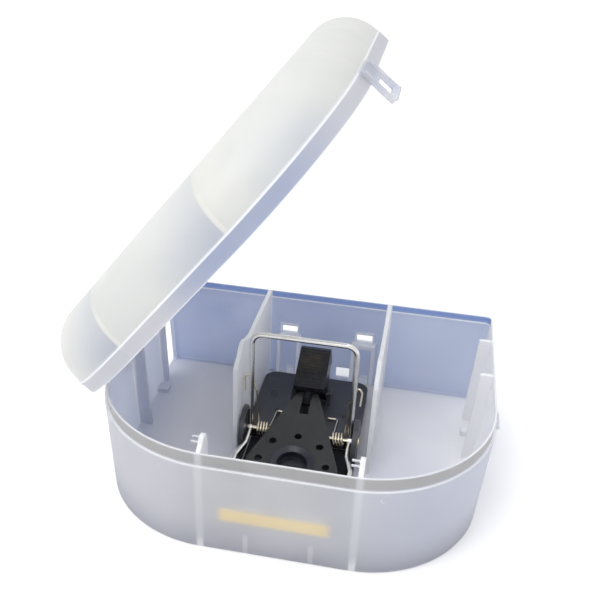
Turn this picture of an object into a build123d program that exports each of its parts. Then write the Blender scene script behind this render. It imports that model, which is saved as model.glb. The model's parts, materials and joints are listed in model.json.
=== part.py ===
from build123d import *
import os
from math import atan2, cos, degrees, radians, sin, tan

# Lidded mouse trap station: a D-shaped tray with three compartments, a domed lid hinged on
# the left wall with a snap latch on the right, and a spring snap trap in the middle.
# Millimetres. +X right along the flat back wall, +Y to the back, +Z up. The origin is the
# centre of the tray's underside. The lid is drawn shut and then turned to its open angle.

# ---- tray shell -------------------------------------------------------------------------
TRAY_HALF_W = 85.0          # half width at the rim
TRAY_HALF_D = 68.05         # half depth at the rim
TRAY_H = 50.7               # height of the rim
CORNER_R_TOP = 56.3         # plan radius of the two front corners at the rim
CORNER_R_FOOT = 51.2        # the same at the foot
BACK_R = 3.0                # plan radius of the two back corners
DRAFT_SIDE = 3.0            # how far the sides and front lean in from rim to foot
DRAFT_BACK = 0.9            # the same for the back wall
WALL = 2.0
FLOOR = 2.0
LEDGE_Z = 44.5              # outer ledge that the lid's skirt comes down to
LEDGE_OUT = 1.0             # how far the ledge stands out from the lip
STEP_Z = 47.2               # inner step under the lip
LIP_T = 0.75                # thickness of the lip above the step

# ---- dividers, fins, entrances and hangers ----------------------------------------------
DIVIDER_X = (-30.0, 33.0)
DIVIDER_T = 2.0
DIVIDER_FRONT_Y = -8.0
STUB_BACK_Y = -56.0
PRONG_R = 0.5
PRONG_L = 3.2
FIN_T = 1.8
FIN_TOP_Z = 50.2
# Each fin: y, then x of its free edge at the rim and at the floor.
FINS_LEFT = ((42.0, 80.2, 78.3), (5.2, 77.9, 74.9))
FINS_RIGHT = ((45.0, 78.4, 76.3), (15.0, 78.4, 76.3))
FOOT_BLOCK = (5.5, 5.0, 2.5)
FOOT_BLOCK_Y = 33.5
ENTRANCE_Y = (46.5, 64.0)
ENTRANCE_Z = (2.0, 30.0)
HANGER_X = (-18.4, 21.7)
HANGER_PITCH = 10.6         # spacing of the two ribs of one hanger
HANGER_RIB_T = 2.0
HANGER_DEPTH = 3.2
HANGER_TOP = 26.4
HANGER_SHELF_T = 2.6
HANGER_TOOTH = (4.4, 4.2)   # width and height of the tooth between the ribs
WINDOW_UP = (8.4, 4.8, 29.2)     # width, height, centre height
WINDOW_LOW = (7.3, 6.6, 5.9)
WINDOW_LOW_X = (-8.1, 11.5)
FRAME_RIM = 0.9             # raised frame round each upper window
GUSSET_X = (-11.0, 16.0)
GUSSET_TOP = 11.5

# ---- lid --------------------------------------------------------------------------------
LID_OPEN = 51.4             # degrees open at rest
LID_CLEAR = 0.3
SKIRT_T = 1.3
SKIRT_BOTTOM = 44.8
SHOULDER_Z = 51.0
LID_TOP = 72.2
LID_WALL = 1.6
LID_FILLET = 20.4
LID_TAPER = 4.5
LID_BACK_FILLET = 3.0
LID_RIB_X = (-30.0, 33.0)
LID_RIB_T = 1.4
LID_RIB_DEPTH = 2.6

# ---- lid hinge --------------------------------------------------------------------------
HINGE_X = -90.0
HINGE_Z = 44.5
HINGE_Y = (2.0, 48.0)
KNUCKLE_R = 2.6
PEG_R = 1.5
PEG_CLEAR = 0.06
ARM_W = 7.0
LUG_T = 3.0
LUG_GAP = 0.4

# ---- latch ------------------------------------------------------------------------------
LATCH_Y = -3.0
LATCH_W = 19.0
LATCH_T = 1.4
LATCH_TIP_Z = 34.6
LATCH_SLOT = (13.0, 6.4, 39.8)    # width, height, centre height of the slot
LATCH_RAIL = 1.3
CATCH_PAD = (-13.0, 33.0, 9.0)    # front y, back y, height
WEDGE_W = 11.0
WEDGE_TOP = 38.9
WEDGE_H = 2.6

# ---- snap trap --------------------------------------------------------------------------
TRAP_X = -0.5
AXLE_Z = 13.0
AXLE_R = 1.0
AXLE_HALF = 28.0
RUN_CLEAR = 0.05            # radial running clearance of every bore on its pin
BASE_HALF_W = 27.3
BASE_BACK_Y = 56.0
BASE_FRONT_Y = -49.5
BASE_TOP = 8.0
BASE_SKIN = 2.0
SILL_T = 3.6
PLATE_FRONT_Y = 7.0
BASE_CORNER_R = 6.0
EAR_IN = 25.2
EAR_OUT = 27.6
EAR_R = 10.5
HUB_R = 2.6
HUB_T = 0.5
STRIP = (42.6, 1.6, 7.6)
STRIP_X = 0.4
STRIP_Z = 20.7               # centre height on the front wall

# ---- wire frame -------------------------------------------------------------------------
WIRE_R = 1.2
LEG_X = 23.7
BAR_Z = 65.0
WIRE_BEND = 5.0
LOOP_FRONT_Y = -45.6
LOOP_FRONT_Z = 9.7
LOOP_HALF_W = 26.3
EYE_R = 2.6
EYE_T = 1.7

# ---- treadle, cup and catch -------------------------------------------------------------
TREADLE_PIVOT = (-43.0, 6.3)
TREADLE_SLOPE = 11.3        # degrees
TREADLE_T = 2.0
TREADLE_BACK_Y = 22.6
TREADLE_NECK = 5.0
TREADLE_HALF_W = 20.9
TREADLE_WIDE_Y = -20.5
TREADLE_SLOT = (4.2, 14.0)
CUP_Y = -20.2
CUP_R = 10.6
CUP_DISH_R = 7.0
CUP_T = 1.2
VENT_R = 1.75
VENT_CIRCLE = 15.5
PIN_R = 0.9
CATCH_PIVOT = (36.0, 12.0)
CATCH_HALF_W = 7.6
CHEEK_T = 2.0
PAD_RIBS = 12
WEB_HALF_W = 1.7           # half width of the catch's web in the treadle's slot

# ---- torsion springs --------------------------------------------------------------------
COIL_R = 3.0
COIL_WIRE = 0.5
COIL_TURNS = 4
COIL_PITCH = 1.35
JOINT_R = 0.53              # the wire at the tight bend where an arm leaves the coil


def save(shape, name):
    shape.label = name
    export_step(shape, f"parts/{name}.step")


def block(x0, x1, y0, y1, z0, z1):
    """A box from its limits."""
    return Pos((x0 + x1) / 2, (y0 + y1) / 2, (z0 + z1) / 2) * Box(x1 - x0, y1 - y0, z1 - z0)


def rod_x(x0, x1, y, z, r):
    """A cylinder along X."""
    return Pos((x0 + x1) / 2, y, z) * Rot(0, 90, 0) * Cylinder(r, x1 - x0)


def rod_y(y0, y1, x, z, r):
    """A cylinder along Y."""
    return Pos(x, (y0 + y1) / 2, z) * Rot(90, 0, 0) * Cylinder(r, y1 - y0)


def plate_yz(points, x0, x1):
    """A flat plate whose outline is drawn in the YZ plane."""
    outline = make_face(Polyline(*[(0, y, z) for y, z in points], close=True))
    return Pos(x0, 0, 0) * extrude(outline, amount=x1 - x0, dir=(1, 0, 0))


def plate_xz(points, y0, y1):
    """A flat plate whose outline is drawn in the XZ plane."""
    outline = make_face(Polyline(*[(x, 0, z) for x, z in points], close=True))
    return Pos(0, y0, 0) * extrude(outline, amount=y1 - y0, dir=(0, 1, 0))


def mirrored(shape):
    return mirror(shape, about=Plane.YZ)


# ---- the D-shaped plan ------------------------------------------------------------------
def plan(z, half_w, front, back, r_front, r_back=BACK_R):
    """The D-shaped outline at height z: rounded front corners, tight back corners."""
    face = Pos(0, (back - front) / 2, 0) * Rectangle(2 * half_w, back + front)
    corners = face.vertices().sort_by(Axis.Y)
    face = fillet(corners[:2], r_front)
    face = fillet(face.vertices().sort_by(Axis.Y)[-2:], r_back)
    return Pos(0, 0, z) * face


def wall_inset(z):
    """How far the sides and the back lean in at height z, from the rim."""
    share = (TRAY_H - z) / TRAY_H
    return DRAFT_SIDE * share, DRAFT_BACK * share


def tray_plan(z, grow):
    """The tray's outline at height z, moved out by grow."""
    side, back = wall_inset(z)
    share = z / TRAY_H
    radius = CORNER_R_FOOT + (CORNER_R_TOP - CORNER_R_FOOT) * share
    return plan(z, TRAY_HALF_W - side + grow, TRAY_HALF_D - side + grow,
                TRAY_HALF_D - back + grow, radius + grow, max(BACK_R + grow, 0.8))


def tray_solid(z0, z1, grow0, grow1=None):
    """The solid between two heights of the tray's drafted outline."""
    top = grow0 if grow1 is None else grow1
    return loft([tray_plan(z0, grow0), tray_plan(z1, top)], ruled=True)


def wall_x(z):
    """x of the tray's side wall, inner face, at height z."""
    return TRAY_HALF_W - wall_inset(z)[0] + LEDGE_OUT - WALL


def wall_front(z):
    """y of the front wall's inner face at height z."""
    return -(TRAY_HALF_D - wall_inset(z)[0] + LEDGE_OUT - WALL)


def wall_back(z):
    """y of the back wall's inner face at height z."""
    return TRAY_HALF_D - wall_inset(z)[1] + LEDGE_OUT - WALL


# ---- tray -------------------------------------------------------------------------------
def tub():
    """The drafted tub with its outer ledge, its inner step and the thin lip above them."""
    low = tray_solid(0, LEDGE_Z, LEDGE_OUT)
    lip = tray_solid(LEDGE_Z, TRAY_H, 0)
    hollow_low = tray_solid(FLOOR, STEP_Z, LEDGE_OUT - WALL)
    hollow_lip = tray_solid(STEP_Z, TRAY_H + 1, -LIP_T)
    shell = (low + lip) - hollow_low - hollow_lip
    foot = shell.edges().filter_by(lambda e: abs(e.center().Z) < 0.01)
    return fillet(foot, 1.0)


def divider(x):
    """One full divider from the back wall, with a raised shoulder near its front edge."""
    outline = [(wall_back(0) + 0.6, FLOOR - 0.5), (wall_back(TRAY_H) + 0.3, TRAY_H - 0.2),
               (21, TRAY_H + 0.6), (12, 54.0), (8.0, 56.2), (4.0, 56.9), (1.0, 55.6),
               (-2.0, 53.0), (-6.0, 51.6), (DIVIDER_FRONT_Y, 49.6), (DIVIDER_FRONT_Y, FLOOR - 0.5)]
    return plate_yz(outline, x - DIVIDER_T / 2, x + DIVIDER_T / 2)


def stub(x):
    """The short fin on the front wall in line with a divider, and its two prongs."""
    outline = [(wall_front(0) - 0.8, FLOOR - 0.5), (wall_front(TRAY_H) - 0.6, TRAY_H - 0.6),
               (-63.9, 52.2), (-62.6, 53.8), (-60.6, 54.4), (-58.6, 53.6), (-57.2, 51.2),
               (-56.5, 47.0), (STUB_BACK_Y, FLOOR - 0.5)]
    fin = plate_yz(outline, x - DIVIDER_T / 2, x + DIVIDER_T / 2)
    face = x - DIVIDER_T / 2
    for y, z in ((-62.2, 51.6), (-59.8, 52.2)):
        fin += rod_x(face - PRONG_L, face + 0.4, y, z, PRONG_R)
    return fin


def side_fin(fin):
    """A guide fin on the right side wall, drafted towards the floor."""
    y, edge_top, edge_foot = fin
    outline = [(edge_foot, FLOOR - 0.5), (wall_x(0) + 0.8, FLOOR - 0.5),
               (wall_x(FIN_TOP_Z) + 0.6, FIN_TOP_Z), (edge_top, FIN_TOP_Z)]
    return plate_xz(outline, y - FIN_T / 2, y + FIN_T / 2)


def side_guides(fins):
    """Fins and threshold block beside the entrance, drawn on the right wall."""
    length, width, height = FOOT_BLOCK
    out = wall_x(FLOOR) + 0.8
    threshold = block(out - length - 0.8, out, FOOT_BLOCK_Y - width / 2,
                      FOOT_BLOCK_Y + width / 2, FLOOR - 0.5, FLOOR + height)
    return side_fin(fins[0]) + side_fin(fins[1]) + threshold


def entrance_cut():
    """The doorway through the right side wall, with a rounded top."""
    y0, y1 = ENTRANCE_Y
    z0, z1 = ENTRANCE_Z
    hole = block(TRAY_HALF_W - 8, TRAY_HALF_W + 4, y0, y1, z0, z1)
    return fillet(hole.edges().filter_by(Axis.X), 2.0)


def hanger(x):
    """Two ribs and a shelf on the back wall under an upper window, with its raised frame."""
    back = wall_back(0) + 0.8
    face = wall_back(HANGER_TOP) - HANGER_DEPTH
    shape = None
    for side in (-1, 1):
        cx = x + side * HANGER_PITCH / 2
        rib = block(cx - HANGER_RIB_T / 2, cx + HANGER_RIB_T / 2, face, back, FLOOR - 0.5, HANGER_TOP)
        shape = rib if shape is None else shape + rib
    half = (HANGER_PITCH + HANGER_RIB_T) / 2
    shape += block(x - half, x + half, face, back, HANGER_TOP - HANGER_SHELF_T, HANGER_TOP)
    tooth, rise = HANGER_TOOTH
    shape += block(x - tooth / 2 + 1.4, x + tooth / 2 + 1.4, face + 0.6, back, FLOOR - 0.5, FLOOR + rise)
    width, height, zc = WINDOW_UP
    frame = block(x - width / 2 - FRAME_RIM, x + width / 2 + FRAME_RIM, wall_back(zc) - 0.8,
                  wall_back(zc) + 0.8, zc - height / 2 - FRAME_RIM, zc + height / 2 + FRAME_RIM)
    return shape + frame


def window(x, size):
    width, height, zc = size
    return block(x - width / 2, x + width / 2, TRAY_HALF_D - 6, TRAY_HALF_D + 4,
                 zc - height / 2, zc + height / 2)


def gusset(x):
    """A small locating gusset at the foot of the front wall."""
    wall = wall_front(0) - 0.8
    outline = [(wall, FLOOR - 0.5), (wall - 0.6, GUSSET_TOP), (wall_front(GUSSET_TOP) + 1.0, GUSSET_TOP),
               (wall_front(0) + 5.0, FLOOR - 0.5)]
    return plate_yz(outline, x - 0.8, x + 0.8)


def hinge_lugs():
    """Pairs of lugs on the left wall that hold the lid's pegs."""
    shape = None
    reach = ARM_W / 2 + LUG_GAP
    wall = -(TRAY_HALF_W + LEDGE_OUT) + 1.2
    web = [(wall, 33.5), (wall, 44.2), (HINGE_X + 0.6, 44.2), (HINGE_X, HINGE_Z - KNUCKLE_R),
           (HINGE_X + 1.0, 40.6)]
    for yc in HINGE_Y:
        for side in (-1, 1):
            low = yc + reach if side > 0 else yc - reach - LUG_T
            lug = rod_y(low, low + LUG_T, HINGE_X, HINGE_Z, KNUCKLE_R) + plate_xz(web, low, low + LUG_T)
            lug -= rod_y(low - 1, low + LUG_T + 1, HINGE_X, HINGE_Z, PEG_R + PEG_CLEAR)
            shape = lug if shape is None else shape + lug
    return shape


def latch_catch():
    """The pad and wedge on the right wall that the latch snaps over."""
    pad_front, pad_back, height = CATCH_PAD
    inner = TRAY_HALF_W - 0.6
    pad = block(inner, TRAY_HALF_W + LEDGE_OUT, pad_front, pad_back, LEDGE_Z - height, LEDGE_Z)
    face = TRAY_HALF_W + LEDGE_OUT
    wedge = [(inner, WEDGE_TOP + 1.2), (inner, WEDGE_TOP - 2.6), (face, WEDGE_TOP - 1.8),
             (face + 2.0, WEDGE_TOP), (face, WEDGE_TOP + WEDGE_H)]
    return pad + plate_xz(wedge, LATCH_Y - WEDGE_W / 2, LATCH_Y + WEDGE_W / 2)


def make_tray():
    body = tub()
    for x in DIVIDER_X:
        body += divider(x)
        body += stub(x)
    body += side_guides(FINS_RIGHT)
    body += mirrored(side_guides(FINS_LEFT))
    for x in HANGER_X:
        body += hanger(x)
    for x in GUSSET_X:
        body += gusset(x)
    body += hinge_lugs()
    body += latch_catch()
    body -= entrance_cut()
    body -= mirrored(entrance_cut())
    for x in HANGER_X:
        body -= window(x, WINDOW_UP)
    for x in WINDOW_LOW_X:
        body -= window(x, WINDOW_LOW)
    return body


# ---- lid, drawn shut --------------------------------------------------------------------
def lid_ring(z, grow):
    """Outline of the lid's skirt, moved out from the tray's lip by grow."""
    return plan(z, TRAY_HALF_W + grow, TRAY_HALF_D + grow, TRAY_HALF_D + grow,
                CORNER_R_TOP + grow, BACK_R + grow)


def dome(grow, z0, z1, radius):
    """A drafted, round-edged dome whose flat back is cut off at the back plane."""
    spare = 60.0
    half_w = TRAY_HALF_W + grow
    front = TRAY_HALF_D + grow
    base = plan(z0, half_w, front, TRAY_HALF_D + spare, CORNER_R_TOP + grow, CORNER_R_TOP + grow)
    solid = extrude(base, amount=z1 - z0, taper=LID_TAPER)
    rim = solid.edges().filter_by(lambda e: abs(e.center().Z - z1) < 0.01)
    solid = fillet(rim, radius)
    return solid & block(-200, 200, -200, TRAY_HALF_D + grow, z0 - 1, z1 + 1)


def lid_ribs(cavity):
    """Shallow ribs inside the lid's front, in line with the dividers."""
    core = dome(0.9 - LID_WALL - LID_RIB_DEPTH, SHOULDER_Z - 1, LID_TOP - LID_WALL - LID_RIB_DEPTH,
                LID_FILLET - LID_WALL - LID_RIB_DEPTH)
    shape = None
    for x in LID_RIB_X:
        slab = block(x - LID_RIB_T / 2, x + LID_RIB_T / 2, -80, -14, SHOULDER_Z + 1.8, LID_TOP)
        rib = (slab & cavity) - core
        shape = rib if shape is None else shape + rib
    return shape


def hinge_arms():
    """Arms on the skirt's left side with pegs that turn in the tray's lugs."""
    shape = None
    skirt = -(TRAY_HALF_W + LID_CLEAR + SKIRT_T) + 0.6
    web = [(HINGE_X, HINGE_Z - KNUCKLE_R), (HINGE_X + 2.4, HINGE_Z - 1.0), (skirt, SKIRT_BOTTOM + 0.1),
           (skirt, SHOULDER_Z + 2.0), (HINGE_X - 1.6, HINGE_Z + 2.0)]
    reach = ARM_W / 2
    for yc in HINGE_Y:
        arm = rod_y(yc - reach, yc + reach, HINGE_X, HINGE_Z, KNUCKLE_R)
        arm += plate_xz(web, yc - reach, yc + reach)
        peg = reach + LUG_GAP + LUG_T - 0.3
        arm += rod_y(yc - peg, yc + peg, HINGE_X, HINGE_Z, PEG_R)
        shape = arm if shape is None else shape + arm
    return shape


def make_lid():
    inner = LID_CLEAR
    outer = LID_CLEAR + SKIRT_T
    skirt = extrude(lid_ring(SKIRT_BOTTOM, outer), amount=SHOULDER_Z + 0.6 - SKIRT_BOTTOM)
    skirt -= extrude(lid_ring(SKIRT_BOTTOM - 1, inner), amount=SHOULDER_Z + 1 - SKIRT_BOTTOM)
    shell = dome(outer - 0.4, SHOULDER_Z, LID_TOP, LID_FILLET)
    top_back = shell.edges().filter_by(lambda e: abs(e.center().Y - TRAY_HALF_D - outer + 0.4) < 0.01)
    top_back = top_back.filter_by(lambda e: e.center().Z > SHOULDER_Z + 2)
    cavity = dome(outer - 0.4 - LID_WALL, SHOULDER_Z - 0.5, LID_TOP - LID_WALL, LID_FILLET - LID_WALL)
    shell = fillet(top_back, LID_BACK_FILLET)
    lid = (skirt + shell) - cavity
    lid += lid_ribs(cavity)
    return lid + hinge_arms()


def open_lid(shape):
    """Turn a piece of the shut lid about the hinge to its open angle."""
    return Pos(HINGE_X, 0, HINGE_Z) * Rot(0, -LID_OPEN, 0) * Pos(-HINGE_X, 0, -HINGE_Z) * shape


def make_latch():
    """The spring tongue on the lid's right side, with side rails, a slot and a finger lip."""
    face = TRAY_HALF_W + LID_CLEAR + SKIRT_T
    half = LATCH_W / 2
    tongue = block(face, face + LATCH_T, LATCH_Y - half, LATCH_Y + half, LATCH_TIP_Z, SHOULDER_Z)
    for side in (-1, 1):
        edge = LATCH_Y + side * (half - LATCH_RAIL / 2)
        tongue += block(face, face + LATCH_T + 0.9, edge - LATCH_RAIL / 2, edge + LATCH_RAIL / 2,
                        LATCH_TIP_Z, SHOULDER_Z - 1.5)
    lip = [(face, LATCH_TIP_Z), (face + LATCH_T, LATCH_TIP_Z), (face + 2.5, LATCH_TIP_Z - 0.7),
           (face + 2.8, LATCH_TIP_Z + 0.3), (face + LATCH_T, LATCH_TIP_Z + 1.6), (face, LATCH_TIP_Z + 1.6)]
    tongue += plate_xz(lip, LATCH_Y - half, LATCH_Y + half)
    width, height, zc = LATCH_SLOT
    return tongue - block(face - 1, face + LATCH_T + 3, LATCH_Y - width / 2, LATCH_Y + width / 2,
                          zc - height / 2, zc + height / 2)


# ---- snap trap --------------------------------------------------------------------------
def base_plate():
    """The rear deck with rounded corners and the two side rails and front sill."""
    deck = block(-BASE_HALF_W, BASE_HALF_W, BASE_FRONT_Y, BASE_BACK_Y, FLOOR, BASE_TOP)
    deck = fillet(deck.edges().filter_by(Axis.Z).sort_by(Axis.Y)[-2:], BASE_CORNER_R)
    inner = BASE_HALF_W - BASE_SKIN
    under = block(-inner, inner, PLATE_FRONT_Y + BASE_SKIN, BASE_BACK_Y - BASE_SKIN,
                  FLOOR - 1, BASE_TOP - BASE_SKIN)
    under = fillet(under.edges().filter_by(Axis.Z).sort_by(Axis.Y)[-2:], BASE_CORNER_R - BASE_SKIN)
    well = block(-inner, inner, BASE_FRONT_Y + SILL_T, PLATE_FRONT_Y, FLOOR - 1, BASE_TOP + 1)
    return deck - under - well


def ear(side):
    """A round ear that carries the axle."""
    x0, x1 = sorted((side * EAR_IN, side * EAR_OUT))
    plate = rod_x(x0, x1, 0, AXLE_Z, EAR_R)
    plate &= block(x0, x1, -EAR_R, EAR_R, FLOOR, AXLE_Z + EAR_R)
    return plate


def catch_cheeks():
    """Two cheeks on the deck that hold the catch's pin."""
    y, z = CATCH_PIVOT
    shape = None
    for side in (-1, 1):
        x0, x1 = sorted((side * (CATCH_HALF_W + 0.4), side * (CATCH_HALF_W + 0.4 + CHEEK_T)))
        cheek = plate_yz([(y - 5, BASE_TOP - 0.5), (y + 5, BASE_TOP - 0.5), (y + 2.6, z + 2.4),
                          (y - 2.6, z + 2.4)], x0, x1)
        shape = cheek if shape is None else shape + cheek
    return shape


def make_base():
    base = base_plate() + ear(-1) + ear(1) + catch_cheeks()
    for x, y in ((-15.6, 22.5), (18.2, 25.0)):
        base += Pos(x, y, BASE_TOP) * Sphere(1.1)
    for side in (-1, 1):
        for i in range(4):
            x = side * 19.5
            base += block(x - 1.7, x + 1.7, 33.2 + 1.9 * i, 33.8 + 1.9 * i, BASE_TOP - 0.5, BASE_TOP + 0.3)
    base -= rod_x(-40, 40, 0, AXLE_Z, AXLE_R)
    base -= rod_x(-40, 40, *TREADLE_PIVOT, PIN_R)
    half = CATCH_HALF_W + 0.4 + CHEEK_T + 1
    base -= rod_x(-half, half, *CATCH_PIVOT, PIN_R)
    return base


def make_strip():
    """The tan strip stuck to the inside of the front wall, leaning with its draft."""
    width, thick, height = STRIP
    lean = degrees(atan2(DRAFT_SIDE, TRAY_H))
    y = wall_front(STRIP_Z) + thick / 2 + 0.05
    strip = Box(width, thick, height)
    strip = fillet(strip.edges().filter_by(Axis.Y), 1.5)
    return Pos(STRIP_X, y, STRIP_Z) * Rot(lean, 0, 0) * strip


def make_hub(side):
    """The flared end of the axle outside one ear."""
    x0, x1 = sorted((side * EAR_OUT, side * (EAR_OUT + HUB_T)))
    return rod_x(x0, x1, 0, AXLE_Z, HUB_R) - rod_x(x0 - 1, x1 + 1, 0, AXLE_Z, AXLE_R)


def wire(points, radius, bend):
    """A round wire along a polyline whose corners are bent to one radius."""
    path = FilletPolyline(*points, radius=bend)
    section = Plane(origin=path @ 0, z_dir=path % 0) * Circle(radius)
    return sweep(section, path=path)


def make_wire_frame():
    """The upright setting bow and the low strike loop, one wire with two flattened eyes."""
    start = EYE_R - 0.4
    bow = wire([(-LEG_X, 0, AXLE_Z + start), (-LEG_X, 0, BAR_Z), (LEG_X, 0, BAR_Z),
                (LEG_X, 0, AXLE_Z + start)], WIRE_R, WIRE_BEND)
    drop = (AXLE_Z - LOOP_FRONT_Z) / -LOOP_FRONT_Y
    stations = [(LEG_X, start), (LEG_X, 10.8), (LOOP_HALF_W, 19.5), (LOOP_HALF_W, -LOOP_FRONT_Y)]
    right = [(x, -d, AXLE_Z - drop * d) for x, d in stations]
    left = [(-x, y, z) for x, y, z in reversed(right)]
    loop = wire(right + left, WIRE_R, 3.0)
    frame = bow + loop
    for side in (-1, 1):
        frame += rod_x(side * LEG_X - EYE_T / 2, side * LEG_X + EYE_T / 2, 0, AXLE_Z, EYE_R)
    return frame - rod_x(-40, 40, 0, AXLE_Z, AXLE_R + RUN_CLEAR)


def tilt(shape):
    """Turn a flat piece about the treadle's pivot to the treadle's slope."""
    y, z = TREADLE_PIVOT
    return Pos(0, y, z) * Rot(TREADLE_SLOPE, 0, 0) * shape


def along(y):
    """Distance from the pivot along the treadle to the station y."""
    return (y - TREADLE_PIVOT[0]) / cos(radians(TREADLE_SLOPE))


def treadle_outline():
    back = along(TREADLE_BACK_Y)
    wide = along(TREADLE_WIDE_Y)
    right = [(TREADLE_HALF_W, 0), (TREADLE_HALF_W, wide), (TREADLE_NECK, back)]
    return make_face(Polyline(*right, *[(-x, y) for x, y in reversed(right)], close=True))


def make_treadle():
    plate = extrude(treadle_outline(), amount=TREADLE_T)
    plate = fillet(plate.edges().filter_by(Axis.Z), 1.2)
    centre = along(CUP_Y)
    plate -= Pos(0, centre, 0) * Cylinder(CUP_R + 0.02, 20)
    for i in range(8):
        angle = radians(45 * i)
        plate -= Pos(VENT_CIRCLE * cos(angle), centre + VENT_CIRCLE * sin(angle), 0) * Cylinder(VENT_R, 20)
    width, length = TREADLE_SLOT
    back = along(TREADLE_BACK_Y)
    plate -= block(-width / 2, width / 2, back - length, back + 2, -5, 5)
    plate += rod_x(-TREADLE_HALF_W, TREADLE_HALF_W, 0, 0, PIN_R + 1.1)
    plate -= rod_x(-40, 40, 0, 0, PIN_R + RUN_CLEAR)
    return tilt(plate)


def make_cup():
    """The dished bait cup that presses into the treadle's opening."""
    profile = make_face(Polyline((CUP_DISH_R, -2.6), (CUP_DISH_R, 0.9), (CUP_R - 1.0, TREADLE_T + 0.3),
                                 (CUP_R, TREADLE_T + 0.3), (CUP_R, 0), (CUP_DISH_R + CUP_T, -0.4),
                                 (CUP_DISH_R + CUP_T, -2.6 - CUP_T), (0, -2.6 - CUP_T), (0, -2.6),
                                 close=True))
    solid = revolve(Plane.XZ * profile, axis=Axis.Z)
    return tilt(Pos(0, along(CUP_Y), 0) * solid)


def make_catch():
    """The ribbed catch lever: thumb pad above, nose at the back, foot through the treadle's slot."""
    y, z = CATCH_PIVOT
    body = plate_yz([(21.7, 22.3), (21.5, 25.0), (41.3, 34.8), (44.0, 34.2), (48.6, 26.0), (49.4, 23.5),
                     (46.3, 22.75), (y + 3.1, z), (y - 3.1, z), (30.0, 20.5), (24.5, 22.6)],
                    -CATCH_HALF_W, CATCH_HALF_W)
    body += rod_x(-CATCH_HALF_W, CATCH_HALF_W, y, z, 3.1)
    slope = (34.8 - 25.0) / (41.3 - 21.5)
    for i in range(PAD_RIBS):
        ry = 23.4 + 1.45 * i
        rz = 25.0 + slope * (ry - 21.5)
        body += plate_yz([(ry - 0.35, rz - 0.4), (ry - 0.2, rz + 0.35), (ry + 0.35, rz + 0.62),
                          (ry + 0.6, rz - 0.4)], -CATCH_HALF_W + 0.9, CATCH_HALF_W - 0.9)
    body += plate_yz([(18.4, 15.7), (18.4, 17.6), (21.0, 18.4), (22.6, 23.4), (31.0, 22.0), (33.0, 12.0),
                      (26.0, 14.6)], -WEB_HALF_W, WEB_HALF_W)
    body += block(-4.6, 4.6, 18.4, 20.6, 15.7, 17.6)
    return body - rod_x(-20, 20, y, z, PIN_R + RUN_CLEAR)


def make_spring(side, inner_x):
    """A torsion spring on the axle: coil, long arm hooked behind the bow, short arm on the deck."""
    outer_x = inner_x + side * COIL_TURNS * COIL_PITCH
    path = Helix(pitch=COIL_PITCH, height=COIL_TURNS * COIL_PITCH, radius=COIL_R)
    coil = sweep(Plane(origin=path @ 0, z_dir=path % 0) * Circle(COIL_WIRE), path=path)
    spin = Rot(0, 90, 0) if side > 0 else Rot(0, -90, 0)
    coil = Pos(inner_x, 0, AXLE_Z) * spin * Rot(0, 0, 90) * coil
    long_arm = wire([(outer_x, COIL_R, AXLE_Z), (outer_x + side * 1.6, 2.6, 33.0),
                     (side * (LEG_X + 1.6), 2.4, 43.0), (side * (LEG_X + 3.6), 1.6, 40.0),
                     (side * (LEG_X + 3.2), 0.6, 33.5)], COIL_WIRE, 1.2)
    short_arm = wire([(inner_x, COIL_R, AXLE_Z), (inner_x, 6.5, 11.6), (inner_x, 20.5, BASE_TOP + 0.9),
                      (inner_x - side * 4.6, 20.5, BASE_TOP + 0.9)], COIL_WIRE, 1.0)
    joints = Pos(outer_x, COIL_R, AXLE_Z) * Sphere(JOINT_R) + Pos(inner_x, COIL_R, AXLE_Z) * Sphere(JOINT_R)
    return coil + joints + long_arm + short_arm


def in_place(shape):
    return Pos(TRAP_X, 0, 0) * shape


def main():
    os.makedirs("parts", exist_ok=True)
    save(make_tray(), "tray")
    save(open_lid(make_lid()), "lid")
    save(open_lid(make_latch()), "latch")
    save(in_place(make_base()), "trap_base")
    save(make_strip(), "front_strip")
    save(in_place(rod_x(-AXLE_HALF, AXLE_HALF, 0, AXLE_Z, AXLE_R)), "axle")
    save(in_place(make_hub(-1)), "hub_left")
    save(in_place(make_hub(1)), "hub_right")
    save(in_place(make_wire_frame()), "wire_frame")
    save(in_place(make_treadle()), "treadle")
    save(in_place(make_cup()), "bait_cup")
    save(in_place(rod_x(-BASE_HALF_W, BASE_HALF_W, *TREADLE_PIVOT, PIN_R)), "treadle_pin")
    save(in_place(make_catch()), "catch")
    pin = CATCH_HALF_W + 0.4 + CHEEK_T
    save(in_place(rod_x(-pin, pin, *CATCH_PIVOT, PIN_R)), "catch_pin")
    save(in_place(make_spring(-1, -14.9)), "spring_left")
    save(in_place(make_spring(1, 15.4)), "spring_right")


main()
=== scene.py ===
import json
import math

import bmesh
import bpy
from mathutils import Matrix, Vector


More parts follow.
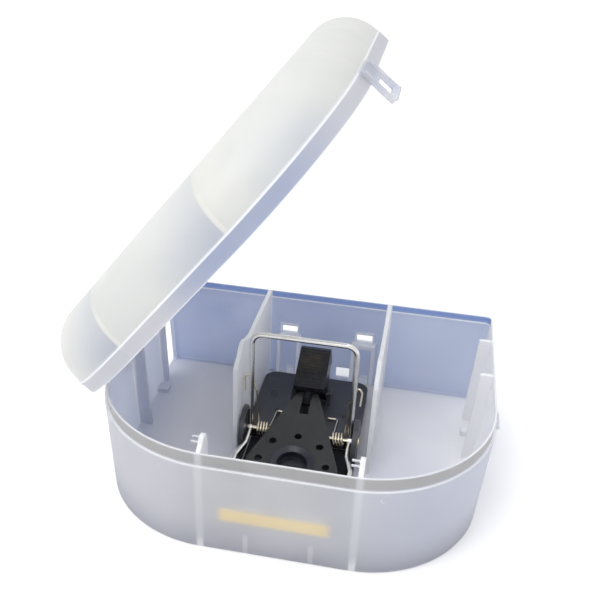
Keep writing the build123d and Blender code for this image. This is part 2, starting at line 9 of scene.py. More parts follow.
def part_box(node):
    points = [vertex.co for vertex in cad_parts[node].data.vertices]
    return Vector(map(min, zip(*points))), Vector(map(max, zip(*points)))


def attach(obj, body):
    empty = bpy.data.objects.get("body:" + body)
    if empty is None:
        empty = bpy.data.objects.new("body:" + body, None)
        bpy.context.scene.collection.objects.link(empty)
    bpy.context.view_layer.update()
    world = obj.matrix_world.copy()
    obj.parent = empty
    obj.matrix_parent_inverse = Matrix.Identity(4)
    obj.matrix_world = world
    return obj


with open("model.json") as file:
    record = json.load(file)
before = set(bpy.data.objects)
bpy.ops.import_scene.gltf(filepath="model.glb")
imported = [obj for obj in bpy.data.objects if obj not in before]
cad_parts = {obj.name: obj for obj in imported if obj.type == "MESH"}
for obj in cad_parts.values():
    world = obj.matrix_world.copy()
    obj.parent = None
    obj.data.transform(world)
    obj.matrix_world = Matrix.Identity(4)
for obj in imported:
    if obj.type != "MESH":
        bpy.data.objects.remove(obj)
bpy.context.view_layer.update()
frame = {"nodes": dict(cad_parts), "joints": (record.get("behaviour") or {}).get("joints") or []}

# Looks for the lidded mouse trap station. Metres, in the CAD frame: +X right along the flat back
# wall, +Y to the back, +Z up, origin at the centre of the tray's underside. The frosted plastic's
# tints, most of them painted light and shade, go by the place on the moulding at rest, so they
# turn with it when a joint moves.

NODES = frame["nodes"]
JOINTS = {joint["name"]: joint for joint in frame["joints"]}


def add_object(name, data):
    """A new object that holds data, linked into the scene."""
    made = bpy.data.objects.new(name, data)
    bpy.context.scene.collection.objects.link(made)
    return made


# ---- camera, light and floor ------------------------------------------------------------
CAMERA_TARGET = Vector((-0.003622, 0.0, 0.085067))
CAMERA_DISTANCE = 0.35399
CAMERA_AZIMUTH = 0.152          # radians, to the right of the -Y axis
CAMERA_HEIGHT = 0.509           # radians above the horizon
CAMERA_ROLL = 0.051             # radians
CAMERA_LENS = 49.44             # mm
CAMERA_SENSOR = 36.0            # mm

SKY_COLOUR = (0.97, 0.98, 1.0, 1.0)
SKY_STRENGTH = 1.05
SUN_ENERGY = 1.1
SUN_ANGLE = 1.1                 # radians across, so its shadows are soft
SUN_HEADING = (0.35, 0.25, -1.0)

FLOOR_HALF = 6.0
FLOOR_DROP = 0.0002             # below the tray's underside
FLOOR_COLOUR = (0.92, 0.92, 0.925, 1.0)


def make_camera():
    data = bpy.data.cameras.new("camera")
    data.lens = CAMERA_LENS
    data.sensor_width = CAMERA_SENSOR
    data.clip_start = 0.01
    data.clip_end = 50.0
    camera = add_object("camera", data)
    level = math.cos(CAMERA_HEIGHT)
    back = Vector((math.sin(CAMERA_AZIMUTH) * level, -math.cos(CAMERA_AZIMUTH) * level,
                   math.sin(CAMERA_HEIGHT)))
    right = (-back).cross(Vector((0, 0, 1))).normalized()
    up = right.cross(-back)
    cos_r, sin_r = math.cos(CAMERA_ROLL), math.sin(CAMERA_ROLL)
    rolled_right = right * cos_r + up * sin_r
    rolled_up = up * cos_r - right * sin_r
    axes = Matrix((rolled_right, rolled_up, back)).transposed().to_4x4()
    camera.matrix_world = Matrix.Translation(CAMERA_TARGET + back * CAMERA_DISTANCE) @ axes
    bpy.context.scene.camera = camera


def aim(lamp, heading):
    lamp.rotation_mode = "QUATERNION"
    lamp.rotation_quaternion = heading.to_track_quat("-Z", "Y")


def area_light(name, place, target, size, power, colour):
    data = bpy.data.lights.new(name, "AREA")
    data.shape = "RECTANGLE"
    data.size, data.size_y = size
    data.energy = power
    data.color = colour
    lamp = add_object(name, data)
    lamp.location = place
    aim(lamp, Vector(target) - Vector(place))


def make_light():
    world = bpy.data.worlds.new("studio")
    bpy.context.scene.world = world
    world.use_nodes = True
    sky = world.node_tree.nodes["Background"]
    sky.inputs["Color"].default_value = SKY_COLOUR
    sky.inputs["Strength"].default_value = SKY_STRENGTH
    sun = bpy.data.lights.new("soft_sun", "SUN")
    sun.energy = SUN_ENERGY
    sun.angle = SUN_ANGLE
    aim(add_object("soft_sun", sun), Vector(SUN_HEADING))
    area_light("key", (-0.50, -0.50, 0.9), (0, 0, 0.05), (0.6, 0.6), 3.0, (1.0, 0.99, 0.97))


def make_floor():
    half = FLOOR_HALF
    mesh = bpy.data.meshes.new("floor")
    mesh.from_pydata([(-half, -half, 0), (half, -half, 0), (half, half, 0), (-half, half, 0)], [],
                     [(0, 1, 2, 3)])
    floor = add_object("floor", mesh)
    floor.location.z = -FLOOR_DROP
    paper = Shader("floor_paper")
    paper.set("Base Color", FLOOR_COLOUR)
    paper.set("Roughness", 0.85)
    floor.data.materials.append(paper.material)


# ---- material nodes ---------------------------------------------------------------------
class Shader:
    """A Principled material, and the patterns and masks that its colours are mixed by.

    A mask is a socket that runs from 0 to 1 over the surface."""

    def __init__(self, name):
        self.material = bpy.data.materials.new(name)
        self.material.use_nodes = True
        self.tree = self.material.node_tree
        self.bsdf = self.tree.nodes["Principled BSDF"]
        self.output = self.tree.nodes["Material Output"]
        where = self.new("TexCoord")
        self.place = where.outputs["Object"]
        self.normal = where.outputs["Normal"]

    # sockets and single nodes
    def new(self, kind):
        return self.tree.nodes.new("ShaderNode" + kind)

    def set(self, socket, value):
        self.bsdf.inputs[socket].default_value = value

    def link(self, source, target):
        self.tree.links.new(source, target)

    def feed(self, source, socket):
        self.link(source, self.bsdf.inputs[socket])

    def put(self, value, target):
        """Gives an input socket a plain value or the output of another node."""
        if isinstance(value, (int, float, tuple)):
            target.default_value = value
        else:
            self.link(value, target)

    def vector(self, operation, a, b, result="Value"):
        node = self.new("VectorMath")
        node.operation = operation
        self.put(a, node.inputs[0])
        self.put(b, node.inputs[1])
        return node.outputs[result]

    def maths(self, operation, a, b=None):
        node = self.new("Math")
        node.operation = operation
        self.put(a, node.inputs[0])
        if b is not None:
            self.put(b, node.inputs[1])
        return node.outputs["Value"]

    def part(self, vector, name):
        node = self.new("SeparateXYZ")
        self.link(vector, node.inputs["Vector"])
        return node.outputs[name]

    def axis(self, name):
        return self.part(self.place, name)

    def mix(self, share, low, high):
        """A colour between low and high, each a colour or a socket."""
        node = self.new("Mix")
        node.data_type = "RGBA"
        self.link(share, node.inputs["Factor"])
        for name, value in (("A", low), ("B", high)):
            self.put(value, [s for s in node.inputs if s.name == name and s.type == "RGBA"][0])
        return [s for s in node.outputs if s.type == "RGBA"][0]

    # patterns
    def noise(self, size, detail=3.0, rough=0.5, stretch=(1, 1, 1)):
        """Noise whose features are about size metres across."""
        node = self.new("TexNoise")
        self.link(self.vector("MULTIPLY", self.place, stretch, "Vector"), node.inputs["Vector"])
        node.inputs["Scale"].default_value = 1.0 / size
        node.inputs["Detail"].default_value = detail
        node.inputs["Roughness"].default_value = rough
        return node.outputs["Fac"]

    def clouds(self, size):
        """The uneven flow of the frosted plastic."""
        return self.rising(self.noise(size), 0.35, 0.68)

    def bump(self, height, depth, strength=1.0, base=None):
        """A bump from height, 0 to 1, that is depth metres deep."""
        node = self.new("Bump")
        node.inputs["Strength"].default_value = strength
        node.inputs["Distance"].default_value = depth
        self.link(height, node.inputs["Height"])
        if base is not None:
            self.link(base, node.inputs["Normal"])
        return node.outputs["Normal"]

    def eased_normal(self, radius):
        """The surface normal with its sharp edges eased over radius metres."""
        node = self.new("Bevel")
        node.samples = 6
        node.inputs["Radius"].default_value = radius
        return node.outputs["Normal"]

    # masks
    def spread(self, value, low, high, source_low=0.0, source_high=1.0):
        """Runs smoothly from low to high as value runs from source_low to source_high."""
        node = self.new("MapRange")
        node.interpolation_type = "SMOOTHSTEP"
        self.link(value, node.inputs["Value"])
        node.inputs["From Min"].default_value = source_low
        node.inputs["From Max"].default_value = source_high
        node.inputs["To Min"].default_value = low
        node.inputs["To Max"].default_value = high
        return node.outputs["Result"]

    def rising(self, value, low, high, most=1.0):
        """0 where value is below low, most above high."""
        return self.spread(value, 0.0, most, low, high)

    def falling(self, value, low, high, most=1.0):
        """most where value is below low, 0 above high."""
        return self.spread(value, most, 0.0, low, high)

    def near(self, value, centre, inner, outer):
        """1 where value is within inner of centre, 0 beyond outer."""
        return self.falling(self.maths("ABSOLUTE", self.maths("SUBTRACT", value, centre)), inner, outer)

    def near_any(self, value, centres, inner, outer):
        return self.either(*(self.near(value, centre, inner, outer) for centre in centres))

    def in_span(self, value, low, high, soft):
        """1 between low and high, fading over soft metres outside them."""
        return self.both(self.rising(value, low - soft, low), self.falling(value, high, high + soft))

    def both(self, *shares):
        """The product of masks and numbers."""
        result = shares[0]
        for share in shares[1:]:
            result = self.maths("MULTIPLY", result, share)
        return result

    def either(self, *shares):
        """The largest of several masks."""
        result = shares[0]
        for share in shares[1:]:
            result = self.maths("MAXIMUM", result, share)
        return result

    def facing(self, name, low, high):
        """1 where the normal at rest leans along the axis by more than high, 0 below low."""
        return self.rising(self.part(self.normal, name), low, high)

    def inside(self):
        """1 on faces that look towards the tray's middle, 0 on its outside."""
        outwards = self.vector("MULTIPLY", self.place, (1.0, 1.0, 0.0), "Vector")
        return self.falling(self.vector("DOT_PRODUCT", self.normal, outwards), -0.004, 0.004)

    def edges(self, radius):
        """1 at an outside or inside edge, 0 more than radius away from it."""
        plain = self.new("NewGeometry").outputs["Normal"]
        return self.falling(self.vector("DOT_PRODUCT", self.eased_normal(radius), plain), 0.78, 0.99)


# ---- frosted plastic --------------------------------------------------------------------
# The near-white that edges are painted towards, a painted highlight.
PAINTED_EDGE_LIGHT = (0.93, 0.94, 0.96, 1)
PLASTIC_IOR = 1.49


def let_through(s, colour, share):
    """Mixes in light that soaks through the wall from behind."""
    back = s.new("BsdfTranslucent")
    s.link(colour, back.inputs["Color"])
    blend = s.new("MixShader")
    blend.inputs["Fac"].default_value = share
    s.link(s.bsdf.outputs["BSDF"], blend.inputs[1])
    s.link(back.outputs["BSDF"], blend.inputs[2])
    s.link(blend.outputs["Shader"], s.output.inputs["Surface"])


def frosted_finish(s, colour, edge, clear, rough, soak):
    """Milky polypropylene with a fine sparked grain, flow clouds and a painted highlight on its edges.

    clear is how much it transmits, rough the span of its roughness, soak its translucent share.
    The roughness stays above 0.3: below about 0.27 the denoiser takes the plastic for clear glass
    and leaves dark patches."""
    cloud = s.noise(0.020, 4.0, 0.55)
    streak = s.noise(0.010, 3.0, 0.6, (0.35, 1.0, 1.0))
    grain = s.noise(0.0007, 2.0, 0.6)
    waves = s.noise(0.016, 2.0, 0.4)
    # Painted highlight: the colour runs to near-white where edge is high.
    colour = s.mix(edge, colour, PAINTED_EDGE_LIGHT)
    s.feed(colour, "Base Color")
    s.feed(s.maths("ADD", s.spread(cloud, rough[0], rough[1], 0.3, 0.7),
                   s.spread(streak, -0.02, 0.03, 0.3, 0.7)), "Roughness")
    thin = s.both(s.spread(edge, 1.0, 0.35), s.spread(cloud, 1.0, 0.85, 0.35, 0.7))
    s.feed(s.both(thin, clear), "Transmission Weight")
    s.set("IOR", PLASTIC_IOR)
    s.set("Specular IOR Level", 0.45)
    soft = s.bump(waves, 0.0006, 0.25, s.eased_normal(0.0007))
    s.feed(s.bump(grain, 0.00003, 0.45, soft), "Normal")
    let_through(s, colour, soak)


# Places on the tray, each the middle of a wall or the height of an edge.
DIVIDER_X = (-0.030, 0.033)
HANGER_X = (-0.0184, 0.0217)
HANGER_HALF = 0.0069
HANGER_TOP = 0.0325
FIN_Y_LEFT = (0.0420, 0.0052)
FIN_Y_RIGHT = (0.0450, 0.0150)
GUSSET_X = (-0.011, 0.016)
STEP_Z = 0.0472                 # the inner step under the tray's lip
# Height of the band of painted shade under the rim.
RIM_BAND_Z = (0.0454, 0.0500)   # the darker band under the rim, outside
BACK_FACE_Y = (0.0625, 0.0655)  # the back wall's inside, where the floor's tint ends

# Tray colours; a pair is the plastic between its flow clouds and in them. Every colour after the
# floor's pair is painted light and shade by place.
TRAY_WALL = ((0.84, 0.85, 0.90, 1), (0.79, 0.81, 0.87, 1))
TRAY_FLOOR = ((0.95, 0.95, 0.97, 1), (0.91, 0.91, 0.94, 1))
# Painted blue shade on the back wall's inside.
TRAY_BACK_BLUE_SHADE = ((0.55, 0.60, 0.75, 1), (0.50, 0.56, 0.735, 1))
# Painted shade on the floor: greyer towards the front, a middle grey at the left.
FLOOR_FRONT_SHADE = (0.71, 0.725, 0.80, 1)
FLOOR_LEFT_SHADE = (0.86, 0.86, 0.89, 1)
# Painted bluish shade at the left end.
LEFT_END_SHADE = (0.56, 0.60, 0.73, 1)
# Painted light at the right end.
RIGHT_END_LIGHT = (0.93, 0.93, 0.95, 1)
# Painted blue shade: paler on the back wall towards the right, deepest on its lip above the step.
BACK_RIGHT_BLUE_SHADE = (0.61, 0.655, 0.785, 1)
BACK_LIP_BLUE_SHADE = (0.31, 0.41, 0.68, 1)
# Painted shade on the outside: greyer than the inside, bluer towards the right, darker at the foot and in the
# band under the rim.
OUTSIDE = (0.725, 0.725, 0.745, 1)
OUTSIDE_RIGHT_SHADE = (0.68, 0.70, 0.775, 1)
OUTSIDE_LOW_SHADE = (0.545, 0.55, 0.60, 1)
RIM_SHADE_BAND = (0.56, 0.55, 0.545, 1)
# The tan strip's light, painted on the front wall where it shows through.
STRIP_PAINTED_ON_WALL = (1.0, 0.87, 0.58, 1)
# Painted highlight for the pale lines.
PAINTED_LIGHT_LINE = (0.96, 0.96, 0.97, 1)


def tray_inside_colour(s, x, y, z, on_floor, at_back):
    """Painted shade inside: greyer on the floor towards the front, blue on the back wall and bluish at the
    left end, with painted light at the right end.
    """
    cloud = s.clouds(0.030)
    # Painted shade on the floor, greyer towards the front and a middle grey at the left.
    floor = s.mix(s.falling(y, -0.050, 0.045, 0.9), s.mix(cloud, *TRAY_FLOOR), FLOOR_FRONT_SHADE)
    floor = s.mix(s.falling(x, -0.060, -0.020, 0.7), floor, FLOOR_LEFT_SHADE)
    colour = s.mix(on_floor, s.mix(cloud, *TRAY_WALL), floor)
    # Painted bluish shade at the left end.
    colour = s.mix(s.falling(x, -0.085, -0.055, 0.55), colour, LEFT_END_SHADE)
    # Painted light on the right end's inside.
    colour = s.mix(s.both(s.rising(x, 0.066, 0.074), s.falling(y, 0.054, 0.062)), colour, RIGHT_END_LIGHT)
    # Painted blue shade on the back wall, paler towards the right and deepest above the step.
    back = s.mix(s.rising(x, 0.010, 0.060), s.mix(cloud, *TRAY_BACK_BLUE_SHADE), BACK_RIGHT_BLUE_SHADE)
    colour = s.mix(at_back, colour, back)
    above_step = s.rising(z, STEP_Z - 0.0002, STEP_Z + 0.0003)
    return s.mix(s.both(at_back, above_step), colour, BACK_LIP_BLUE_SHADE)


def tray_outside_colour(s, x, z, at_front, colour):
    """Pale outside painted greyer than the inside and bluer towards the right, with painted shade at its foot
    and under its rim and the tan strip painted on where it shows through.
    """
    # Painted shade: bluer towards the right, darker at the foot.
    outside = s.mix(s.rising(x, 0.010, 0.070), OUTSIDE, OUTSIDE_RIGHT_SHADE)
    outside = s.mix(s.falling(z, 0.001, 0.020, 0.8), outside, OUTSIDE_LOW_SHADE)
    colour = s.mix(at_front, colour, outside)
    # Painted shade in the band under the rim.
    colour = s.mix(s.both(at_front, s.in_span(z, *RIM_BAND_Z, 0.0004)), colour, RIM_SHADE_BAND)
    # The tan strip painted on the front wall's outside where it shows through.
    low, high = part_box("front_strip")
    strip = s.both(at_front, s.in_span(x, low[0] + 0.001, high[0] - 0.001, 0.004),
                   s.in_span(z, low[2] + 0.0020, high[2] - 0.0020, 0.0030))
    return s.mix(s.both(strip, 0.90), colour, STRIP_PAINTED_ON_WALL)


def tray_rails(s, x, y):
    """The dividers' and the guide fins' edges, where they meet the wall."""
    dividers = s.both(s.near_any(x, DIVIDER_X, 0.0010, 0.0017), s.rising(y, -0.0668, -0.0660))
    left_fins = s.both(s.near_any(y, FIN_Y_LEFT, 0.0010, 0.0016), s.falling(x, -0.0822, -0.0812))
    right_fins = s.both(s.near_any(y, FIN_Y_RIGHT, 0.0010, 0.0016), s.rising(x, 0.0750, 0.0756))
    return s.either(dividers, left_fins, right_fins)


def tray_painted_light_lines(s, x, y, z, rails, at_front):
    """Painted highlights along the rails, gussets, hangers and the dividers' outer seams, for the light that
    thicker plastic carries.
    """
    seams = s.both(s.near_any(x, DIVIDER_X, 0.0006, 0.0024), at_front)
    gussets = s.both(s.near_any(x, GUSSET_X, 0.0006, 0.0015), s.falling(z, 0.009, 0.0125, 0.55), at_front)
    hangers = s.both(s.near_any(x, HANGER_X, HANGER_HALF - 0.0001, HANGER_HALF + 0.0001),
                     s.in_span(y, 0.0625, 0.0659, 0.0003),
                     s.falling(z, HANGER_TOP - 0.0003, HANGER_TOP + 0.0003))
    return s.either(rails, gussets, hangers, s.both(seams, 0.45))


def tray_plastic():
    """The tray: painted blue shade towards its back wall and left end, painted grey shade on the floor, paler
    at the front, and painted highlights on its edges, tops and pale lines.
    """
    s = Shader("tray_frosted")
    x, y, z = s.axis("X"), s.axis("Y"), s.axis("Z")
    inner = s.inside()
    on_floor = s.both(s.facing("Z", 0.7, 0.95), s.falling(z, 0.004, 0.008))
    at_back = s.rising(y, *BACK_FACE_Y)
    skin = s.either(s.falling(y, -0.0670, -0.0655), s.rising(x, 0.0805, 0.0820),
                    s.falling(x, -0.0820, -0.0805), s.falling(y, -0.030, -0.020))
    at_front = s.both(s.maths("SUBTRACT", 1.0, inner), skin)
    rails = tray_rails(s, x, y)

    colour = tray_inside_colour(s, x, y, z, on_floor, at_back)
    colour = tray_outside_colour(s, x, z, at_front, colour)
    # Painted highlight lines on the rails, gussets, hangers and seams.
    pale = tray_painted_light_lines(s, x, y, z, rails, at_front)
    colour = s.mix(s.both(pale, 0.92), colour, PAINTED_LIGHT_LINE)

    # Painted highlight: faces that look up, the inner step under the lip and the edges are painted paler.
    tops = s.both(s.facing("Z", 0.55, 0.9), s.rising(z, 0.0085, 0.0125))
    step = s.both(s.near(z, STEP_Z, 0.0002, 0.0005), inner)
    edge = s.either(tops, step, s.both(s.edges(0.0011), 0.75))
    solid = s.either(s.both(on_floor, 0.7), s.both(rails, 0.45))
    frosted_finish(s, colour, edge, s.spread(solid, 0.62, 0.0), (0.38, 0.48), 0.30)
    return s


# The lid's own directions: along it from its hinge, and up from it with the lid shut.
LID_OPEN = math.radians(-JOINTS["lid_hinge"]["range_deg"][0])
LID_HINGE = JOINTS["lid_hinge"]["pos_m"]
LID_RIBS = (0.0600, 0.1230)         # along the lid
SHOULDER = 0.0065                   # where the skirt ends and the dome starts

LID_BODY = ((0.80, 0.80, 0.77, 1), (0.76, 0.765, 0.75, 1))
# Painted shade beside the ribs.
LID_SHADE_BESIDE_RIB = (0.555, 0.585, 0.665, 1)
# Painted bluish shade at the far end.
LID_FAR_END_SHADE = (0.56, 0.60, 0.69, 1)
# Painted shade in the skirt, bluer in its middle.
LID_SKIRT_SHADE = (0.66, 0.66, 0.70, 1)
LID_SKIRT_BLUE_SHADE = (0.44, 0.485, 0.63, 1)
# Painted highlight on the ribs seen through the lid.
LID_RIB_HIGHLIGHT = (0.90, 0.89, 0.84, 1)


def lid_place(s):
    """Along the lid from its hinge and up from it, as if the lid were shut."""
    cos_o, sin_o = math.cos(LID_OPEN), math.sin(LID_OPEN)
    places = []
    for dir_x, dir_z in ((cos_o, sin_o), (-sin_o, cos_o)):
        hinge = LID_HINGE[0] * dir_x + LID_HINGE[2] * dir_z
        places.append(s.maths("SUBTRACT", s.vector("DOT_PRODUCT", s.place, (dir_x, 0.0, dir_z)), hinge))
    return places


def lid_plastic():
    """The lid: warmer and milkier than the tray, with painted bluish shade in its skirt, beside its ribs and
    at its far end, and painted highlights on its ribs, shoulder and edges.
    """
    s = Shader("lid_frosted")
    along, up = lid_place(s)
    y = s.axis("Y")
    body = s.mix(s.clouds(0.034), *LID_BODY)
    low_front = s.both(s.falling(y, -0.062, -0.030), s.spread(up, 1.0, 0.35, 0.006, 0.024))
    # Painted shade on the hinge side of each rib, deepest at the rib, low on the front.
    for rib in LID_RIBS:
        beside = s.both(s.rising(along, rib - 0.040, rib - 0.0006, 0.85),
                        s.falling(along, rib - 0.0005, rib + 0.0003), low_front)
        body = s.mix(beside, body, LID_SHADE_BESIDE_RIB)
    # Painted bluish shade towards the far end, low on the front.
    far_end = s.both(s.rising(along, 0.128, 0.172), low_front)
    body = s.mix(s.both(far_end, 0.55), body, LID_FAR_END_SHADE)
    # Painted shade in the skirt below the shoulder, bluer in its middle.
    skirt = s.mix(s.in_span(along, 0.112, 0.142, 0.035), LID_SKIRT_SHADE, LID_SKIRT_BLUE_SHADE)
    body = s.mix(s.falling(up, SHOULDER - 0.0006, SHOULDER, 0.9), body, skirt)
    # Painted highlight along each rib, low on the front.
    ribs = s.both(s.near_any(along, [rib + 0.0007 for rib in LID_RIBS], 0.0005, 0.0014),
                  s.falling(y, -0.040, -0.022), s.falling(up, 0.017, 0.026),
                  s.rising(up, SHOULDER, SHOULDER + 0.0008))
    body = s.mix(s.both(ribs, 0.75), body, LID_RIB_HIGHLIGHT)
    # Painted highlight lines at the shoulder and along the lid's lower edge, with the edges.
    lines = s.either(s.near(up, SHOULDER, 0.00020, 0.00055), s.falling(up, 0.0004, 0.0009))
    edge = s.either(s.both(s.edges(0.0009), 0.6), lines)
    frosted_finish(s, body, edge, 0.34, (0.34, 0.42), 0.34)
    return s


def latch_plastic():
    """The latch: the lid's plastic, thinner and clearer."""
    s = Shader("latch_frosted")
    body = s.mix(s.clouds(0.010), (0.80, 0.80, 0.82, 1), (0.70, 0.72, 0.80, 1))
    # The latch's edges get a painted highlight.
    frosted_finish(s, body, s.both(s.edges(0.0007), 0.9), 0.5, (0.33, 0.40), 0.34)
    return s


def mark_plastic():
    """The dimple on the front wall, painted paler than the wall round it as a painted highlight."""
    s = Shader("mark_frosted")
    body = s.mix(s.noise(0.0012), (0.95, 0.95, 0.96, 1), (0.86, 0.87, 0.91, 1))
    frosted_finish(s, body, s.edges(0.0004), 0.3, (0.33, 0.40), 0.25)
    return s


# ---- the snap trap's plastics and metals ------------------------------------------------
def moulded(name, colour, worn, rough, grain_size, grain_depth, coat=0.0, rub=0.0):
    """Opaque moulded plastic with a fine grain, paler rubbed patches and rubbed edges."""
    s = Shader(name)
    patch = s.noise(0.012, 4.0, 0.6)
    grain = s.noise(grain_size, 2.0, 0.5)
    scuff = s.noise(0.003, 5.0, 0.7, (1.0, 0.25, 1.0))
    plain = s.mix(s.rising(patch, 0.45, 0.8), colour, worn)
    rubbed = s.both(s.edges(0.0006), s.spread(scuff, 0.15, 1.0, 0.35, 0.65))
    pale = tuple(min(1.0, c * 2.6 + 0.02) for c in worn[:3]) + (1.0,)
    s.feed(s.mix(s.both(rubbed, rub), plain, pale), "Base Color")
    s.feed(s.maths("ADD", s.spread(patch, rough[0], rough[1], 0.3, 0.75),
                   s.spread(scuff, -0.04, 0.06, 0.4, 0.7)), "Roughness")
    s.set("Coat Weight", coat)
    s.set("Coat Roughness", 0.15)
    s.feed(s.bump(grain, grain_depth, 0.6, s.eased_normal(0.0004)), "Normal")
    return s


def pad_plastic():
    """The catch: near-black with a worn olive-brown patch in the middle of its thumb pad."""
    s = moulded("catch_black", (0.010, 0.010, 0.015, 1), (0.015, 0.015, 0.019, 1), (0.32, 0.42),
                grain_size=0.0005, grain_depth=0.00002, coat=0.05, rub=0.5)
    s.set("Specular IOR Level", 0.25)
    low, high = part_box("catch")
    middle = (Vector(low) + Vector(high)) / 2
    away = s.vector("DISTANCE", s.place, (middle.x, middle.y, high[2]))
    blot = s.both(s.falling(away, 0.002, 0.008, 0.45), s.spread(s.noise(0.004, 4.0, 0.6), 0.3, 1.0, 0.35, 0.6))
    plain = s.bsdf.inputs["Base Color"].links[0].from_socket
    s.feed(s.mix(blot, plain, (0.075, 0.060, 0.032, 1)), "Base Color")
    return s


def metal(name, colour, tarnish, rough, stretch):
    """Drawn metal with fine lines along one direction and faint tarnish."""
    s = Shader(name)
    patch = s.noise(0.009, 4.0, 0.6)
    lines = s.noise(0.0007, 2.0, 0.5, stretch)
    s.feed(s.mix(s.rising(patch, 0.5, 0.85, 0.8), colour, tarnish), "Base Color")
    s.set("Metallic", 1.0)
    s.feed(s.spread(lines, rough[0], rough[1], 0.3, 0.7), "Roughness")
    s.feed(s.bump(lines, 0.000008, 0.3), "Normal")
    return s


ALONG_X = (0.05, 1, 1)              # noise stretched into lines along one axis
ALONG_Z = (1, 1, 0.05)
NO_STRETCH = (1, 1, 1)


def dress_all():
    """Gives every CAD node its material."""
    base = moulded("base_black", (0.036, 0.036, 0.046, 1), (0.050, 0.051, 0.062, 1), (0.32, 0.42),
                   grain_size=0.0006, grain_depth=0.000015, coat=0.1, rub=0.7)
    treadle = moulded("treadle_charcoal", (0.017, 0.0175, 0.019, 1), (0.025, 0.026, 0.027, 1), (0.42, 0.55),
                      grain_size=0.0004, grain_depth=0.00003, rub=0.5)
    cup = moulded("cup_gloss", (0.009, 0.009, 0.020, 1), (0.013, 0.013, 0.026, 1), (0.30, 0.38),
                  grain_size=0.001, grain_depth=0.00001, coat=0.1, rub=0.3)
    board = moulded("strip_tan", (0.94, 0.78, 0.48, 1), (0.96, 0.84, 0.58, 1), (0.6, 0.8),
                    grain_size=0.0008, grain_depth=0.00005)
    wire = metal("wire_bright", (0.74, 0.73, 0.71, 1), (0.58, 0.56, 0.53, 1), (0.13, 0.19), ALONG_Z)
    gilt = metal("axle_gilt", (0.78, 0.70, 0.53, 1), (0.56, 0.49, 0.36, 1), (0.16, 0.25), ALONG_X)
    coil = metal("coil_gilt", (0.80, 0.74, 0.60, 1), (0.60, 0.54, 0.42, 1), (0.14, 0.24), NO_STRETCH)
    pin = metal("pin_plain", (0.66, 0.66, 0.66, 1), (0.45, 0.45, 0.45, 1), (0.18, 0.26), ALONG_X)
    shaders = {
        "tray": tray_plastic(), "lid": lid_plastic(), "latch": latch_plastic(), "front_strip": board,
        "trap_base": base, "treadle": treadle, "bait_cup": cup, "catch": pad_plastic(),
        "wire_frame": wire, "axle": gilt, "hub_left": gilt, "hub_right": gilt,
        "spring_left": coil, "spring_right": coil, "treadle_pin": pin, "catch_pin": pin,
    }
    for node, shader in shaders.items():
        for held in NODES[node].material_slots:
            held.material = shader.material


# ---- small pieces that the CAD leaves out, and a sheet of painted shade -----------------
MARK_TURNS = 36                     # steps round a mark
MARK_HALF_WIDTH = 0.00026           # of its ridge, at its widest
MARK_RISE = 0.0001
MARK_PROFILE = ((-1.0, -0.4), (-0.45, 0.6), (0.0, 1.0), (0.45, 0.6), (1.0, -0.4))


def mesh_piece(name, bm, material):
    """A piece from bm, its normals outward, in one material."""
    bmesh.ops.recalc_face_normals(bm, faces=bm.faces)
    mesh = bpy.data.meshes.new(name)
    bm.to_mesh(mesh)
    bm.free()
    mesh.materials.append(material)
    return add_object(name, mesh)


def wall_mark(name, start, radius, sweep, material):
    """A low moulded ridge round a pin's print, where a line from start along +Y meets the tray."""
    hit, place, normal, _ = NODES["tray"].ray_cast(Vector(start), Vector((0, 1, 0)))
    if not hit:
        raise RuntimeError(name + " finds no wall")
    side = normal.orthogonal().normalized()
    over = normal.cross(side)
    bm = bmesh.new()
    loops = []
    for out, rise in MARK_PROFILE:
        ring = []
        for i in range(MARK_TURNS + 1):
            angle = sweep * (i / MARK_TURNS - 0.5)
            swell = math.sin(math.pi * i / MARK_TURNS) ** 0.6 * MARK_HALF_WIDTH
            spoke = side * math.cos(angle) + over * math.sin(angle)
            ring.append(bm.verts.new(place + spoke * (radius + out * swell) + normal * rise * MARK_RISE))
        loops.append(ring)
    for inner, outer in zip(loops, loops[1:]):
        for i in range(MARK_TURNS):
            bm.faces.new((inner[i], outer[i], outer[i + 1], inner[i + 1]))
    mark = mesh_piece(name, bm, material)
    for face in mark.data.polygons:
        face.use_smooth = True
    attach(mark, "station")


def add_marks():
    """The ejector marks on the back wall's inside and the small dimple on the front."""
    tray = NODES["tray"].material_slots[0].material
    wall_mark("ejector_mark_left", (-0.0513, 0.0, 0.0388), 0.0008, 5.2, tray)
    wall_mark("ejector_mark_right", (0.0534, 0.0, 0.0390), 0.0008, 5.2, tray)
    wall_mark("front_dimple", (0.0424, -0.12, 0.0405), 0.0009, 4.0, mark_plastic().material)


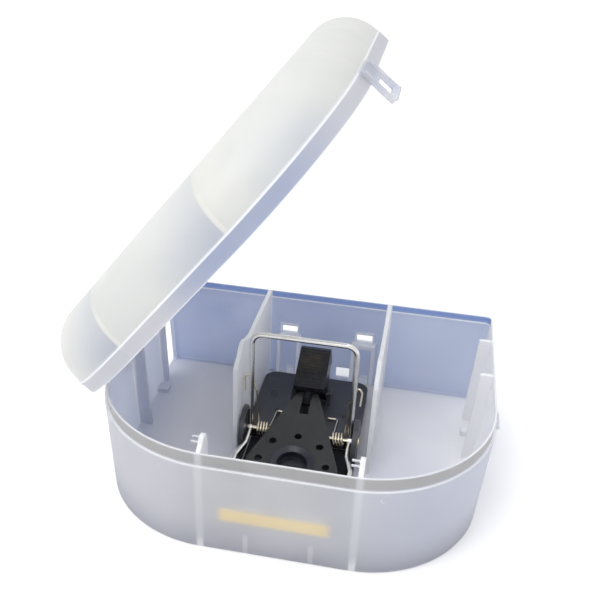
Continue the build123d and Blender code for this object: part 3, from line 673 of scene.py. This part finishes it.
# The dark sheet of painted shade in the base's well, under the treadle.
SHADE_SHEET_STEPS = 24
SHADE_SHEET_MARGIN_X = 0.0030             # in from the base's sides
SHADE_SHEET_MARGIN_Y = 0.0045             # in from its front
SHADE_SHEET_BACK_Y = 0.0065               # where the well ends
SHADE_SHEET_BOTTOM_Z = 0.00205
SHADE_SHEET_TOP_Z = 0.00225
SHADE_SHEET_WAVE = 0.00005


def add_shade_sheet():
    """A dark sheet of painted shade on the floor of the base's well, which the treadle's vents look down on.
    """
    low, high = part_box("trap_base")
    x0, x1 = low[0] + SHADE_SHEET_MARGIN_X, high[0] - SHADE_SHEET_MARGIN_X
    y0, y1 = low[1] + SHADE_SHEET_MARGIN_Y, SHADE_SHEET_BACK_Y
    steps, across = SHADE_SHEET_STEPS, SHADE_SHEET_STEPS + 1
    bm = bmesh.new()
    top, bottom = [], []
    for i in range(across):
        for j in range(across):
            x = x0 + (x1 - x0) * i / steps
            y = y0 + (y1 - y0) * j / steps
            wave = SHADE_SHEET_WAVE * math.sin(9.0 * i / steps) * math.cos(7.0 * j / steps)
            top.append(bm.verts.new((x, y, SHADE_SHEET_TOP_Z + wave)))
            bottom.append(bm.verts.new((x, y, SHADE_SHEET_BOTTOM_Z)))
    for i in range(steps):
        for j in range(steps):
            a, d = i * across + j, i * across + j + 1
            b, c = a + across, d + across
            bm.faces.new((top[a], top[b], top[c], top[d]))
            bm.faces.new((bottom[d], bottom[c], bottom[b], bottom[a]))
    rim = [i * across for i in range(across)]
    rim += [steps * across + j for j in range(1, across)]
    rim += [i * across + steps for i in range(steps - 1, -1, -1)]
    rim += list(range(steps - 1, 0, -1))
    for a, b in zip(rim, rim[1:] + rim[:1]):
        bm.faces.new((bottom[a], bottom[b], top[b], top[a]))
    # Near-black painted shade.
    shade_finish = moulded("shade_sheet_black", (0.011, 0.012, 0.022, 1), (0.016, 0.017, 0.027, 1), (0.6, 0.8),
                   grain_size=0.0007, grain_depth=0.00004)
    shade_sheet = mesh_piece("base_shade_sheet", bm, shade_finish.material)
    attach(shade_sheet, "station")


make_camera()
make_light()
make_floor()
dress_all()
add_marks()
add_shade_sheet()
bpy.context.scene.view_settings.view_transform = "Standard"
